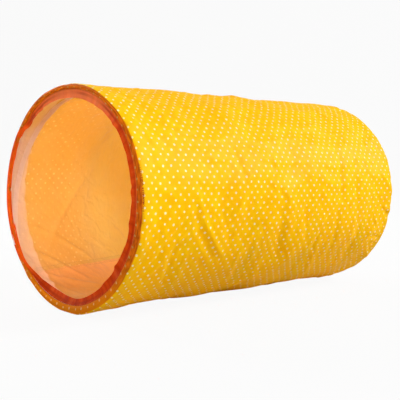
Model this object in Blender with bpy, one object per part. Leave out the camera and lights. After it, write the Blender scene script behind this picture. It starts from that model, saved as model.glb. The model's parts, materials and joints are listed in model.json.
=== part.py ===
# A pop-up cat tunnel: a cloth tube held open by a wound spring and two hoops.
# It lies along X with the mouth that is looked into at -X, and rests on the floor at z = 0.
# All sizes are in metres.

import math

import bmesh
import bpy
from mathutils import Matrix, Vector

for old in list(bpy.data.objects):
    bpy.data.objects.remove(old, do_unlink=True)

# The tunnel's own sizes
LENGTH = 0.450            # from nose to nose, over the two hems
DIAMETER = 0.250          # over the hems
SIDES = 32                # flats round the tube; one of them faces straight down

# Cloth, film and tape thicknesses
COVER = 0.0008
FILM = 0.0005
LINING = 0.0006
CASING = 0.0004
CASING_WIDTH = 0.007
FACING = 0.0005
FACING_WIDTH = 0.0095     # how far the gathered tape reaches in from the rim
SEAM_TAPE = 0.0004
SEAM_TAPE_WIDTH = 0.008
SEAM_ANGLE = -45.0        # degrees up from the far wall, where the lining's seam runs

# Wires and what is crimped or pushed onto them
HOOP_WIRE = 0.0025
SLEEVE_WALL = 0.0004
SLEEVE_LENGTH = 0.016
SLEEVE_ANGLE = 247.5      # where each hoop's ends meet, in degrees round from the far wall
HOOP_END_GAP = 0.001
SPRING_WIRE = 0.0018
SPRING_TURNS = 4.0
SPRING_START = 0.0        # degrees round from the far wall
CAP_WALL = 0.0004
CAP_LENGTH = 0.008
CAP_END = 0.0012          # thickness of the cap's closed end

# How the cloth hangs
COVER_SAG = 0.0014        # the cover dips this far between two turns of the spring
LINING_SAG = 0.0012       # the lining bags this far inwards between two turns
HEM_SLACK = 0.00115       # room left in the hem beside the hoop's sleeve
HEM_LEG = 0.007           # the turned-in edge that is stitched down behind the hoop
ROWS_PER_TURN = 4
GATHERS = 24              # pleats round each facing
GATHER_DEPTH = 0.0009

# Clearances
GAP = 0.0003              # between two pieces that touch
SPRING_END_GAP = 0.0015   # from the hem's stitched edge to the end of the spring
FILM_INSET = 0.008        # from the end of the spring to the edge of the film
LINING_EASE = 0.008       # length over which the lining widens behind the hem

# Radii, from the outside inwards. Each layer is seated on the one before.
rim_radius = DIAMETER / 2
hem_inner = HOOP_WIRE / 2 + GAP + SLEEVE_WALL + HEM_SLACK
hem_outer = hem_inner + COVER
hoop_radius = rim_radius - hem_outer
cover_inside = rim_radius - COVER_SAG - COVER
film_outside = cover_inside - GAP
film_inside = film_outside - FILM
spring_radius = cover_inside - GAP - max(FILM, CAP_WALL) - GAP - SPRING_WIRE / 2
casing_outside = spring_radius - SPRING_WIRE / 2 - GAP
casing_inside = casing_outside - CASING
lining_outside = casing_outside - max(CASING, CAP_WALL) - GAP
hem_edge_radius = hoop_radius - hem_outer
lining_end_outside = min(hem_edge_radius - GAP, lining_outside)
lining_end_inside = lining_end_outside - LINING
tape_outside = min(lining_end_inside, lining_outside - LINING - LINING_SAG) - GAP
facing_outside = hem_edge_radius - GAP
facing_inside = facing_outside - FACING_WIDTH

# Places along X, measured from the tunnel's middle
hoop_x = LENGTH / 2 - hem_outer
leg_x = hoop_x - HEM_LEG
spring_x = leg_x - SPRING_END_GAP
film_x = spring_x - FILM_INSET
lining_x = hoop_x - FACING / 2 - GAP

step = 2 * math.pi / SIDES
axis_height = rim_radius * math.cos(step / 2)
spring_flats = round(SPRING_TURNS * SIDES)
start_flat = round(math.radians(SPRING_START) / step)
rise_per_flat = 2 * spring_x / spring_flats
pitch = rise_per_flat * SIDES


def corner(j):
    """Angle of corner j; corner 0 is half a flat above the far wall."""
    return (j + 0.5) * step


def on_flats(angle, radius):
    """Radius at an angle on a tube with flats, whose corners are at radius."""
    off_middle = (angle + step / 2) % step - step / 2
    return radius * math.cos(step / 2) / math.cos(off_middle)


def place(x, angle, radius):
    """A point at x along the tunnel, an angle round from the far wall and a radius."""
    return Vector((x, radius * math.cos(angle), radius * math.sin(angle)))


def spring_along(angle):
    """Where the spring is along X at an angle, which counts on through its turns."""
    return -spring_x + (angle / step - start_flat) * rise_per_flat


def sag_share(x, angle):
    """0 on a turn of the spring, rising to 1 half way to the next turn."""
    turns_off = ((x - spring_along(angle)) / pitch) % 1.0
    return 4.0 * turns_off * (1.0 - turns_off)


def material(name, colour, roughness, metallic=0.0):
    made = bpy.data.materials.new(name)
    made.use_nodes = True
    shader = made.node_tree.nodes["Principled BSDF"]
    shader.inputs["Base Color"].default_value = (*colour, 1.0)
    shader.inputs["Roughness"].default_value = roughness
    shader.inputs["Metallic"].default_value = metallic
    return made


def frame_empty(name, x):
    """An empty on the tunnel's axis, which carries the pieces that go together."""
    empty = bpy.data.objects.new(name, None)
    empty.location = (x, 0.0, axis_height)
    bpy.context.collection.objects.link(empty)
    return empty


def add(name, mesh, finish, parent, sharp_degrees=40.0):
    """Links a mesh as a named piece that rides on one of the empties."""
    if not mesh.materials:
        mesh.materials.append(finish)
    mesh.shade_smooth()
    mesh.set_sharp_from_angle(angle=math.radians(sharp_degrees))
    piece = bpy.data.objects.new(name, mesh)
    piece.parent = parent
    bpy.context.collection.objects.link(piece)
    return piece


def closed_mesh(name, bm):
    """Turns a bmesh into a mesh whose faces all point outwards."""
    bmesh.ops.recalc_face_normals(bm, faces=bm.faces)
    mesh = bpy.data.meshes.new(name)
    bm.to_mesh(mesh)
    bm.free()
    return mesh


def bridge_rings(bm, first, second):
    """Quads between two closed rings with the same number of corners."""
    count = len(first)
    for j in range(count):
        k = (j + 1) % count
        bm.faces.new((first[j], first[k], second[k], second[j]))


def ring(bm, x, radius):
    return [bm.verts.new(place(x, corner(j), radius)) for j in range(SIDES)]


def folded_skin(bm, first, last, radius_at):
    """Cloth between two end rings, whose rows follow the spring's turns.

    Rows that run past an end stop on its ring. After one round, a row meets the one that
    lies a whole turn further along."""
    x_first = first[0].co.x
    x_last = last[0].co.x
    snap = rise_per_flat
    made = {}

    def row_corner(row, j):
        if j == SIDES:
            j, row = 0, row + ROWS_PER_TURN
        x = spring_along(corner(j)) + row * pitch / ROWS_PER_TURN
        if x < x_first + snap:
            return first[j]
        if x > x_last - snap:
            return last[j]
        if (row, j) not in made:
            made[row, j] = bm.verts.new(place(x, corner(j), radius_at(x, j)))
        return made[row, j]

    row_length = pitch / ROWS_PER_TURN
    lowest = math.floor((x_first - spring_along(corner(SIDES))) / row_length) - 1
    highest = math.ceil((x_last - spring_along(corner(0))) / row_length) + 1
    for row in range(lowest, highest):
        for j in range(SIDES):
            corners = [row_corner(row, j), row_corner(row + 1, j),
                       row_corner(row + 1, j + 1), row_corner(row, j + 1)]
            kept = list(dict.fromkeys(corners))
            if len(kept) > 2:
                bm.faces.new(kept)


def wire_curve(name, points, diameter):
    """A wire of round section through the points, with flat ends, as a mesh."""
    curve = bpy.data.curves.new(name + "_path", "CURVE")
    curve.dimensions = "3D"
    curve.bevel_depth = diameter / 2
    curve.bevel_resolution = 1
    curve.use_fill_caps = True
    spline = curve.splines.new("POLY")
    spline.points.add(len(points) - 1)
    for target, point in zip(spline.points, points):
        target.co = (*point, 1.0)
    holder = bpy.data.objects.new(name + "_path", curve)
    bpy.context.collection.objects.link(holder)
    mesh = bpy.data.meshes.new_from_object(holder.evaluated_get(
        bpy.context.evaluated_depsgraph_get()))
    mesh.name = name
    bpy.data.objects.remove(holder, do_unlink=True)
    return mesh


def turned(name, outline, sides):
    """A turned piece: the closed outline of (along, radius) points goes round local X."""
    bm = bmesh.new()
    rings = []
    for along, radius in outline:
        if radius == 0.0:
            rings.append([bm.verts.new((along, 0.0, 0.0))])
            continue
        rings.append([
            bm.verts.new((along, radius * math.cos(a), radius * math.sin(a)))
            for a in (2 * math.pi * k / sides for k in range(sides))])
    for here, after in zip(rings, rings[1:] + rings[:1]):
        for k in range(sides):
            around = [here[k % len(here)], here[(k + 1) % sides % len(here)],
                      after[(k + 1) % sides % len(after)], after[k % len(after)]]
            kept = list(dict.fromkeys(around))
            if len(kept) > 2:
                bm.faces.new(kept)
    return closed_mesh(name, bm)


def aim(location, direction):
    """A matrix that takes local X to a direction at a location."""
    turn = direction.to_track_quat("X", "Z").to_matrix().to_4x4()
    return Matrix.Translation(location) @ turn


# Finishes, as the photograph shows them
cover_cloth = material("yellow_printed_cloth", (0.96, 0.56, 0.02), 0.75)
film_plastic = material("clear_crinkle_film", (0.85, 0.80, 0.70), 0.25)
lining_cloth = material("sheer_orange_cloth", (0.95, 0.42, 0.08), 0.45)
tape_cloth = material("orange_tape", (0.75, 0.20, 0.04), 0.70)
casing_cloth = material("white_bias_tape", (0.80, 0.76, 0.70), 0.85)
wire_steel = material("coated_spring_steel", (0.35, 0.35, 0.36), 0.35, 1.0)
sleeve_steel = material("plated_sleeve", (0.62, 0.62, 0.60), 0.30, 1.0)
cap_plastic = material("black_cap_plastic", (0.03, 0.03, 0.03), 0.50)

# The front half stands still. The rear end slides on the tunnel's own axis.
tunnel_axis = frame_empty("tunnel_axis", 0.0)
front_end = frame_empty("front_end", -hoop_x)
rear_slide = frame_empty("rear_slide", hoop_x)
rear_slide.rotation_euler = (0.0, 0.0, math.pi)


def cover():
    """The printed cloth tube. Its ends turn in round the hoops and back behind them."""
    bm = bmesh.new()
    nose = ((0.0, 1.0), (1.0, 0.58), (1.0, -0.58), (0.0, -1.0))
    floor_flat = round((-math.pi / 2) / step) % SIDES
    on_floor = {floor_flat, (floor_flat - 1) % SIDES}

    def radius_at(x, j):
        if j in on_floor:
            return rim_radius
        angle = corner(j)
        # Its own weight lifts the dips under the spring and deepens them on top.
        weight = 0.8 + 0.2 * math.sin(angle)
        return rim_radius - COVER_SAG * weight * sag_share(x, angle)

    def end_rings(side):
        """Rings from the body's outside, round the nose and leg, to the body's inside."""
        outside = [(side * (hoop_x + along * hem_outer), hoop_radius + out * hem_outer)
                   for along, out in nose]
        leg = [(side * leg_x, hoop_radius - hem_outer), (side * leg_x, hoop_radius - hem_inner)]
        inside = [(side * (hoop_x + along * hem_inner), hoop_radius + out * hem_inner)
                  for along, out in reversed(nose)]
        body = [(side * leg_x, cover_inside)]
        return [ring(bm, x, radius) for x, radius in outside + leg + inside + body]

    front = end_rings(-1)
    rear = end_rings(1)
    for rings in (front, rear):
        for here, after in zip(rings, rings[1:]):
            bridge_rings(bm, here, after)
    bridge_rings(bm, front[-1], rear[-1])
    folded_skin(bm, front[0], rear[0], radius_at)
    add("outer_cover", closed_mesh("outer_cover", bm), cover_cloth, tunnel_axis)


def lining():
    """The sheer inner tube, lapped behind the hems and bagging in between the turns."""
    bm = bmesh.new()
    wide_x = leg_x - LINING_EASE

    def radius_at(x, j):
        angle = corner(j)
        weight = 0.7 + 0.3 * math.sin(angle)
        eased = min(1.0, max(0.0, (leg_x - abs(x)) / LINING_EASE))
        wide = lining_outside - LINING - LINING_SAG * weight * sag_share(x, angle)
        return lining_end_inside + (wide - lining_end_inside) * eased

    outside = [(-lining_x, lining_end_outside), (-leg_x, lining_end_outside),
               (-wide_x, lining_outside), (wide_x, lining_outside),
               (leg_x, lining_end_outside), (lining_x, lining_end_outside)]
    rings = [ring(bm, x, radius) for x, radius in outside]
    inner_front = ring(bm, -lining_x, lining_end_inside)
    inner_rear = ring(bm, lining_x, lining_end_inside)
    # The sheet's inner edge behind each hem, where the widening starts
    shoulder_front = ring(bm, -leg_x, lining_end_inside)
    shoulder_rear = ring(bm, leg_x, lining_end_inside)
    for here, after in zip(rings, rings[1:]):
        bridge_rings(bm, here, after)
    bridge_rings(bm, inner_front, rings[0])
    bridge_rings(bm, rings[-1], inner_rear)
    bridge_rings(bm, inner_front, shoulder_front)
    bridge_rings(bm, shoulder_rear, inner_rear)
    folded_skin(bm, shoulder_front, shoulder_rear, radius_at)
    add("lining", closed_mesh("lining", bm), lining_cloth, tunnel_axis)


def lining_seam_tape():
    """Tape over the lining's lengthwise seam, flat on one side of the tube."""
    angle = round(math.radians(SEAM_ANGLE) / step) * step
    middle = tape_outside * math.cos(step / 2) - SEAM_TAPE / 2
    mesh = bpy.data.meshes.new("lining_seam_tape")
    bm = bmesh.new()
    bmesh.ops.create_cube(bm, size=1.0)
    size = Matrix.Diagonal((2 * (lining_x - SEAM_TAPE_WIDTH), SEAM_TAPE, SEAM_TAPE_WIDTH, 1.0))
    bmesh.ops.transform(bm, matrix=size, verts=bm.verts)
    turn = Matrix.Rotation(angle, 4, "X") @ Matrix.Translation((0.0, middle, 0.0))
    bmesh.ops.transform(bm, matrix=turn, verts=bm.verts)
    bm.to_mesh(mesh)
    bm.free()
    add("lining_seam_tape", mesh, tape_cloth, tunnel_axis)


def crinkle_film():
    """The rustling sheet, rolled once round with its edges meeting on the floor side."""
    bm = bmesh.new()
    floor_flat = round((-math.pi / 2) / step) % SIDES
    sections = []
    for j in range(floor_flat, floor_flat + SIDES):
        angle = corner(j)
        sections.append([bm.verts.new(place(x, angle, radius)) for x, radius in (
            (-film_x, film_outside), (film_x, film_outside),
            (film_x, film_inside), (-film_x, film_inside))])
    for here, after in zip(sections, sections[1:]):
        bridge_rings(bm, here, after)
    bm.faces.new(sections[0])
    bm.faces.new(sections[-1])
    add("crinkle_film", closed_mesh("crinkle_film", bm), film_plastic, tunnel_axis)


def spring_points():
    """The spring's path: both ends in the middle of a flat, a bend at each corner."""
    start = start_flat * step
    end = start + spring_flats * step
    angles = [start] + [corner(start_flat + k) for k in range(spring_flats)] + [end]
    return [place(spring_along(a), a, on_flats(a, spring_radius)) for a in angles]


def least_self_gap(points):
    """Least distance between two turns of the wire, less its own thickness."""
    least = min((points[i] - points[k]).length
                for i in range(len(points))
                for k in range(i + SIDES // 2, len(points)))
    return least - SPRING_WIRE


def spring():
    """One hard spring wire, wound from end to end, with a cap on each end."""
    points = spring_points()
    mesh = wire_curve("spiral_spring", points, SPRING_WIRE)
    add("spiral_spring", mesh, wire_steel, tunnel_axis)
    print("least gap between the spring's turns, in mm:", round(least_self_gap(points) * 1000, 1))

    bore = SPRING_WIRE / 2 + GAP
    outer = bore + CAP_WALL
    chamfer = CAP_WALL / 2
    outline = ((0.0, 0.0), (0.0, bore), (CAP_LENGTH, bore), (CAP_LENGTH, outer),
               (-CAP_END + chamfer, outer), (-CAP_END, outer - chamfer), (-CAP_END, 0.0))
    # The bore's closed end stands off the wire's end.
    cap = turned("spring_cap", [(along - GAP, radius) for along, radius in outline], 8)
    front = add("front_spring_cap", cap, cap_plastic, tunnel_axis)
    front.matrix_local = aim(points[0], points[1] - points[0])
    rear = add("rear_spring_cap", cap, cap_plastic, rear_slide)
    in_tunnel = aim(points[-1], points[-2] - points[-1])
    to_slide = Matrix.Rotation(-math.pi, 4, "Z") @ Matrix.Translation((-hoop_x, 0.0, 0.0))
    rear.matrix_local = to_slide @ in_tunnel


def spring_casing():
    """Bias tape along the spring, sewn through beside the wire to hold it in its helix."""
    bm = bmesh.new()
    flat_length = 2 * spring_radius * math.sin(step / 2)
    skipped = 1 + int(CAP_LENGTH / flat_length)
    sections = []
    for k in range(skipped, spring_flats - skipped):
        angle = corner(start_flat + k)
        x = spring_along(angle)
        sections.append([bm.verts.new(place(x + side * CASING_WIDTH / 2, angle, radius))
                         for side, radius in ((-1, casing_outside), (1, casing_outside),
                                              (1, casing_inside), (-1, casing_inside))])
    for here, after in zip(sections, sections[1:]):
        bridge_rings(bm, here, after)
    bm.faces.new(sections[0])
    bm.faces.new(sections[-1])
    add("spring_casing", closed_mesh("spring_casing", bm), casing_cloth, tunnel_axis)


def hoops():
    """Two hoops of wire, each with its ends butted inside a crimped sleeve."""
    join = round(math.radians(SLEEVE_ANGLE) / step) * step
    middle = place(0.0, join, hoop_radius * math.cos(step / 2))
    along = place(0.0, join + math.pi / 2, 1.0)
    bends = [place(0.0, join + (k + 0.5) * step, hoop_radius) for k in range(SIDES)]
    points = [middle + along * HOOP_END_GAP / 2, *bends, middle - along * HOOP_END_GAP / 2]
    wire = wire_curve("hoop", points, HOOP_WIRE)

    bore = HOOP_WIRE / 2 + GAP
    outer = bore + SLEEVE_WALL
    half = SLEEVE_LENGTH / 2
    crimp = SLEEVE_LENGTH / 4
    dent = SLEEVE_WALL / 3
    outline = [(-half, bore), (-half, outer - dent), (-half + dent, outer)]
    for middle_x in (-crimp, crimp):
        outline += [(middle_x - crimp / 3, outer), (middle_x - crimp / 6, outer - dent),
                    (middle_x + crimp / 6, outer - dent), (middle_x + crimp / 3, outer)]
    outline += [(half - dent, outer), (half, outer - dent), (half, bore)]
    sleeve = turned("hoop_sleeve", outline, 10)
    for end, carrier in (("front", front_end), ("rear", rear_slide)):
        add(end + "_hoop", wire, wire_steel, carrier)
        crimped = add(end + "_hoop_sleeve", sleeve, sleeve_steel, carrier)
        crimped.matrix_local = aim(middle, along)


def facings():
    """Gathered tape rings, sewn by their outer edge inside each rim."""
    count = GATHERS * 4
    bm = bmesh.new()
    rings = []
    for side, is_inner in ((-1, False), (1, False), (1, True), (-1, True)):
        corners = []
        for k in range(count):
            angle = (k + 0.5) * 2 * math.pi / count
            pleat = math.sin(GATHERS * angle)
            radius = on_flats(angle, facing_outside)
            x = side * FACING / 2
            if is_inner:
                radius = facing_inside - GATHER_DEPTH * 0.4 * pleat
                x += GATHER_DEPTH * pleat
            corners.append(bm.verts.new(place(x, angle, radius)))
        rings.append(corners)
    for here, after in zip(rings, rings[1:] + rings[:1]):
        bridge_rings(bm, here, after)
    mesh = closed_mesh("facing", bm)
    add("front_facing", mesh, tape_cloth, front_end)
    add("rear_facing", mesh, tape_cloth, rear_slide)


cover()
crinkle_film()
spring()
spring_casing()
lining()
lining_seam_tape()
hoops()
facings()
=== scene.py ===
import json
import math

import bpy
import numpy as np
from mathutils import Matrix, Vector


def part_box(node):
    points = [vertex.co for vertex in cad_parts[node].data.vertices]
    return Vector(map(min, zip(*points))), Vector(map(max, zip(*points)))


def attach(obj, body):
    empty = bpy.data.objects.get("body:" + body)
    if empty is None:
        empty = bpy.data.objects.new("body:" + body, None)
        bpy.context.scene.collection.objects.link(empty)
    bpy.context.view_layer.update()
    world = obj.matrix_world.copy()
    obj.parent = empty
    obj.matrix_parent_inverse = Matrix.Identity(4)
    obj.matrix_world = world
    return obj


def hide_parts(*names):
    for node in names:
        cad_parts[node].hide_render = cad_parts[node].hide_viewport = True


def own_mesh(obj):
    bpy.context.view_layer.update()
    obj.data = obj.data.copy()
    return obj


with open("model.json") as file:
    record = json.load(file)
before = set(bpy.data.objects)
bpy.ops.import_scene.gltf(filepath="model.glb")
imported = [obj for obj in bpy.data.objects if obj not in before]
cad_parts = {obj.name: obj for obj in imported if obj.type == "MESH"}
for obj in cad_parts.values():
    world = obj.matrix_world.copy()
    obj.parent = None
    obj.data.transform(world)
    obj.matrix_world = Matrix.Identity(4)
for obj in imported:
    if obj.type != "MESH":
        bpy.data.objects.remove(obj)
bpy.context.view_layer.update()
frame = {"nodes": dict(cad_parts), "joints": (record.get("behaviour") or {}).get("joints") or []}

# The studio
# A white paper sweep. A large key lamp hangs high on the camera's right and a softer one
# behind the tunnel; weak ones fill the cover's low side and the open mouth.
cover_low, cover_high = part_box("outer_cover")
axis_z = (cover_low.z + cover_high.z) / 2
middle = Vector((0.0, 0.0, axis_z))
mouth = Vector((cover_low.x, 0.03, axis_z))
scene = bpy.context.scene


def srgb(red, green, blue):
    """A colour given as 0 to 255 on a screen, as the linear one that shaders take."""
    def channel(value):
        value /= 255.0
        return value / 12.92 if value <= 0.04045 else ((value + 0.055) / 1.055) ** 2.4
    return (channel(red), channel(green), channel(blue), 1.0)


def new_object(name, data):
    made = bpy.data.objects.new(name, data)
    scene.collection.objects.link(made)
    return made


def new_material(name):
    made = bpy.data.materials.new(name)
    made.use_nodes = True
    return made, made.node_tree, made.node_tree.nodes["Principled BSDF"]


def feed(node, values):
    """Sets a node's inputs to plain values, or links sockets to them."""
    for slot, value in values.items():
        if isinstance(value, bpy.types.NodeSocket):
            node.id_data.links.new(value, node.inputs[slot])
        else:
            node.inputs[slot].default_value = value


def add(tree, kind, *slots, **named):
    """A new shader node. Names in small letters are its settings. The values without a name,
    in order, and the other names, with _ for a space, go to its inputs."""
    node = tree.nodes.new(kind)
    for key in filter(str.islower, named):
        setattr(node, key, named[key])
    feed(node, dict(enumerate(slots)) | {
        key.replace("_", " "): named[key] for key in named if not key.islower()})
    return node


def calc(operation, *values, clamp=False):
    """A Math node on sockets and numbers; returns its output."""
    tree = next(v for v in values if isinstance(v, bpy.types.NodeSocket)).id_data
    return add(tree, "ShaderNodeMath", *values, operation=operation, use_clamp=clamp).outputs[0]


# The camera stands a metre from the middle of the tunnel, a little above its axis.
view_azimuth, view_elevation, view_roll = map(math.radians, (-45.72, 4.08, 2.39))
view_distance = 1.0215
focal_pixels, picture_pixels = 802.25, 400
off_right, off_down = 12.92, -6.99        # of the tunnel from the picture's centre, in pixels
camera_data = bpy.data.cameras.new("photo_camera")
camera = new_object("photo_camera", camera_data)
back = Vector((math.sin(view_azimuth) * math.cos(view_elevation),
               -math.cos(view_azimuth) * math.cos(view_elevation), math.sin(view_elevation)))
level = Vector((math.cos(view_azimuth), math.sin(view_azimuth), 0.0))
upright = back.cross(level)
right = level * math.cos(view_roll) + upright * math.sin(view_roll)
up = upright * math.cos(view_roll) - level * math.sin(view_roll)
camera.matrix_world = Matrix.Translation(middle + back * view_distance) @ Matrix(
    (right, up, back)).transposed().to_4x4()
camera_data.sensor_width = 36.0
camera_data.lens = focal_pixels / picture_pixels * camera_data.sensor_width
camera_data.shift_x = -off_right / picture_pixels
camera_data.shift_y = off_down / picture_pixels
scene.camera = camera
scene.view_settings.view_transform = "Standard"

# Each lamp's name, place, size, watts, what it is aimed at and its spread in degrees.
for name, place, size, power, aim, spread in (
        ("key_lamp", (2.15, -1.70, 1.80), 1.0, 113.0, middle, 180),
        ("rear_lamp", (-0.10, 1.50, 1.00), 1.2, 24.0, middle, 180),
        ("low_fill_lamp", (0.05, -1.65, 0.22), 0.8, 4.2, middle, 180),
        ("mouth_lamp", (-1.48, -0.38, 0.08), 0.30, 0.37, mouth + Vector((0.0, 0.03, 0.070)), 24),
        ("camera_side_lamp", (-1.03, -0.84, 0.67), 0.12, 0.092,
         mouth + Vector((0.01, 0.01, -0.028)), 14)):
    lamp = bpy.data.lights.new(name, "AREA")
    lamp.shape = "SQUARE"
    lamp.size = size
    lamp.energy = power
    lamp.spread = math.radians(spread)
    holder = new_object(name, lamp)
    holder.location = place
    holder.rotation_euler = (aim - Vector(place)).to_track_quat("-Z", "Y").to_euler()

# The room is white to look at and in reflections, and dimmer as a source of light.
world = bpy.data.worlds.new("studio_room")
scene.world = world
world.use_nodes = True
room = world.node_tree
path = add(room, "ShaderNodeLightPath").outputs
seen = calc("MAXIMUM", calc("MAXIMUM", path["Is Camera Ray"], path["Is Glossy Ray"]),
            path["Is Transmission Ray"])
brightness = add(room, "ShaderNodeMapRange", seen, To_Min=0.35, To_Max=1.0)
feed(room.nodes["Background"], {"Color": (1.0, 1.0, 1.0, 1.0),
                                "Strength": brightness.outputs["Result"]})

flat_to, bend = 2.6, 0.8                  # where the paper starts to curve up, and its radius
sweep_profile = [(-3.0, 0.0), (flat_to, 0.0)]
sweep_profile += [(flat_to + bend * math.sin(a), bend - bend * math.cos(a))
                  for a in np.linspace(0.1, math.pi / 2, 12)]
sweep_profile += [(flat_to + bend, 3.5)]
sweep_mesh = bpy.data.meshes.new("studio_sweep")
sweep_mesh.from_pydata([(x, y, z - 0.0004) for y, z in sweep_profile for x in (-5.0, 5.0)], [], [
    (2 * i, 2 * i + 1, 2 * i + 3, 2 * i + 2) for i in range(len(sweep_profile) - 1)])
sweep_mesh.shade_smooth()
sweep = new_object("studio_sweep", sweep_mesh)
sweep.rotation_euler = (0.0, 0.0, view_azimuth)
paper, tree, shader = new_material("sweep_paper")
feed(shader, {"Base Color": srgb(196, 196, 195), "Roughness": 0.9, "Specular IOR Level": 0.1})
glow = add(tree, "ShaderNodeEmission", Strength=1.0)
lifted = 0.93                             # how far the paper is lifted to white for the camera
blend = add(tree, "ShaderNodeMixShader", calc(
    "MULTIPLY", add(tree, "ShaderNodeLightPath").outputs["Is Camera Ray"], lifted),
    shader.outputs[0], glow.outputs[0])
feed(tree.nodes["Material Output"], {"Surface": blend.outputs[0]})
sweep_mesh.materials.append(paper)

# The outer cover
# One panel of thin printed polyester, sewn into a tube. Each end turns in over a wire hoop
# and is stitched down, and the cloth between is held out by the spring that is sewn to it.
FULL_TURN = 2 * math.pi
rear_low, rear_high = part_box("rear_hoop")
rim_radius = (cover_high.z - cover_low.z) / 2
cloth_round = FULL_TURN * rim_radius
hoop_x = (rear_low.x + rear_high.x) / 2
hem_radius = cover_high.x - hoop_x        # of the soft roll of cloth round each hoop
hoop_radius = rim_radius - hem_radius
stitch_radius = hoop_radius - hem_radius
leg_radius = stitch_radius + 0.0010       # of the cut edge, which lies outside the lining
wire_radius = 0.0009
spring_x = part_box("spiral_spring")[1].x - wire_radius
spring_turns = 4
spring_pitch = 2 * spring_x / spring_turns
travel = frame["joints"][0]["range_m"][1]
AROUND, ALONG = 208, 116                  # cloth squares round the tube and between the hoops
NOSE_ROWS, LEG_ROWS = 14, 6
LEG = 0.007                               # how much of each end is turned in
SEAM_ANGLE = math.radians(-97.0)          # the cover's own seam lies on the floor


def wrapped(off, span):
    """A distance round the tube, taken the shorter way."""
    return (off + span / 2) % span - span / 2


def eased(share):
    return share * share * (3 - 2 * share)


def hump(angle, middle_degrees, half_width_degrees):
    """1 at an angle round the tube, falling smoothly to 0 on both sides of it."""
    off = wrapped(angle - math.radians(middle_degrees), FULL_TURN)
    return np.exp(-(off / math.radians(half_width_degrees)) ** 2)


def smooth_noise(seed, angle, v, waves_round, wave_along, terms=14):
    """A slow random wave round the tube and along it, between about -1 and 1."""
    draw = np.random.default_rng(seed)
    total = np.zeros_like(angle)
    for _ in range(terms):
        k = draw.integers(1, waves_round + 1)
        m = draw.uniform(-1.0, 1.0) * FULL_TURN / wave_along
        total += np.cos(k * angle + m * v + draw.uniform(0, FULL_TURN))
    return total / math.sqrt(terms / 2) / 1.6


def creases(u, v, round_u, seed, count, v_range, lengths, depth, width, lean):
    """Sharp little folds: count straight dents of random place, length and lean, summed.

    u runs round the tube and v along it, both in metres; lean is the range of their angle
    from the v direction in degrees, and v_range that of their middles."""
    draw = np.random.default_rng(seed)
    total = np.zeros_like(u)
    for _ in range(count):
        at_u = draw.uniform(0.0, round_u)
        at_v = draw.uniform(*v_range)
        angle = math.radians(draw.uniform(*lean)) * draw.choice((-1.0, 1.0))
        length = draw.uniform(*lengths)
        deep = depth * draw.uniform(0.3, 1.0) * draw.choice((-1.0, 1.0))
        wide = width * draw.uniform(0.7, 1.5)
        du, dv = wrapped(u - at_u, round_u), v - at_v
        across = du * math.cos(angle) - dv * math.sin(angle)
        lengthwise = du * math.sin(angle) + dv * math.cos(angle)
        total += deep * np.exp(-(across / wide) ** 2 - (lengthwise / length) ** 4)
    return total


def folds_by_hand(u, v, radius, strength, *folds):
    """Folds one by one, summed: from (degrees, x) to (degrees, x), then how far each bends
    aside half way, its depth and its half width."""
    total = np.zeros_like(u)
    for start, end, bend, depth, width in folds:
        (from_u, from_v), (to_u, to_v) = [
            ((math.radians(degrees) - SEAM_ANGLE) % FULL_TURN * radius, x)
            for degrees, x in (start, end)]
        length = math.hypot(to_u - from_u, to_v - from_v)
        along_u, along_v = (to_u - from_u) / length, (to_v - from_v) / length
        du, dv = wrapped(u - from_u, cloth_round), v - from_v
        reach = (du * along_u + dv * along_v) / length
        across = du * along_v - dv * along_u - bend * 4 * reach * (1 - reach)
        past_end = np.maximum(np.abs(reach - 0.5) - 0.38, 0.0) * length
        total += strength * depth * np.exp(
            -(across / width) ** 2 - (past_end / (0.12 * length + width)) ** 2)
    return total


def on_tube(x, angle, radius):
    """Points at x along the tunnel, an angle from the far wall and a radius."""
    return np.stack([x, radius * np.cos(angle), axis_z + radius * np.sin(angle)], -1)


def net(around, along, low_x, high_x, flat_round):
    """The lines of a net of cloth squares, as u and v on the flat cloth, and the angle, the
    u and the v of each of its knots."""
    cut_u = np.arange(around + 1) * flat_round / around
    cut_v = np.linspace(low_x, high_x, along + 1)
    angle, v = np.meshgrid(SEAM_ANGLE + np.arange(around) * FULL_TURN / around, cut_v)
    return cut_u, cut_v, angle, np.meshgrid(cut_u[:-1], cut_v)[0], v


def cloth_mesh(name, grid, cloth_u, cloth_v, tube=True, closed=False):
    """A mesh on rows x columns of points. A tube closes round its columns and a closed one
    round its rows. The flat cloth's own place of each point is its UV map."""
    rows, columns = grid.shape[:2]
    i, j = np.meshgrid(np.arange(rows - (not closed)), np.arange(columns - (not tube)),
                       indexing="ij")
    n, k = (i + 1) % rows, (j + 1) % columns
    quads = np.stack([i * columns + j, i * columns + k, n * columns + k, n * columns + j], -1)
    cloth_u, cloth_v = np.asarray(cloth_u), np.asarray(cloth_v)
    places = np.stack([np.stack([cloth_u[j], cloth_u[j + 1], cloth_u[j + 1], cloth_u[j]], -1),
                       np.stack([cloth_v[i], cloth_v[i], cloth_v[n], cloth_v[n]], -1)], -1)
    mesh = bpy.data.meshes.new(name)
    mesh.from_pydata(grid.reshape(-1, 3).tolist(), [], quads.reshape(-1, 4).tolist())
    layer = mesh.uv_layers.new(name="cut_cloth")
    layer.data.foreach_set("uv", places.astype(np.float32).ravel())
    mesh.shade_smooth()
    return mesh


def between(points, closed):
    """Rows of points with one more between each two, on a smooth line through them."""
    if closed:
        before, after, further = [np.roll(points, shift, 0) for shift in (1, -1, -2)]
    else:
        ends = np.concatenate([2 * points[:1] - points[1:2], points,
                               2 * points[-1:] - points[-2:-1]])
        before, points, after, further = ends[:-3], ends[1:-2], ends[2:-1], ends[3:]
    middles = (9 * (points + after) - before - further) / 16
    doubled = np.stack([points, middles], 1).reshape(-1, *points.shape[1:])
    return doubled if closed else np.concatenate([doubled, after[-1:]])


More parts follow.
